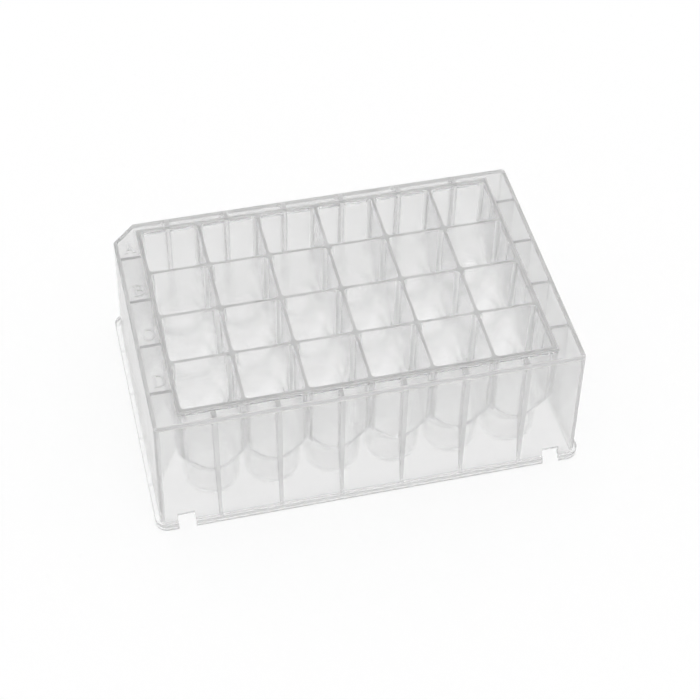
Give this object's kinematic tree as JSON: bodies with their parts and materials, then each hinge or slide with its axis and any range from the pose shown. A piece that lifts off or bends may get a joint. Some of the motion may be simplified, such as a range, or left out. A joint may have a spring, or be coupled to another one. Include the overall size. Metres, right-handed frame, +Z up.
{
  "type": "well plate",
  "caption": "Deep plate of open square wells with cone-ended round bottoms, in a ribbed skirt with a stepped foot and one cut corner.",
  "frame": {"origin": "centre of the footprint, on the plane the foot stands on", "axes": "+X along the row of column numbers, from column 1 to the last; +Y towards row A at the back; +Z up out of the wells"},
  "size_m": [0.1278, 0.0854, 0.044],
  "materials": {
    "natural_polypropylene": "translucent natural polypropylene, satin, uncoloured"
  },
  "bodies": {
    "root": {"well_plate": "natural_polypropylene"}
  },
  "joints": []
}
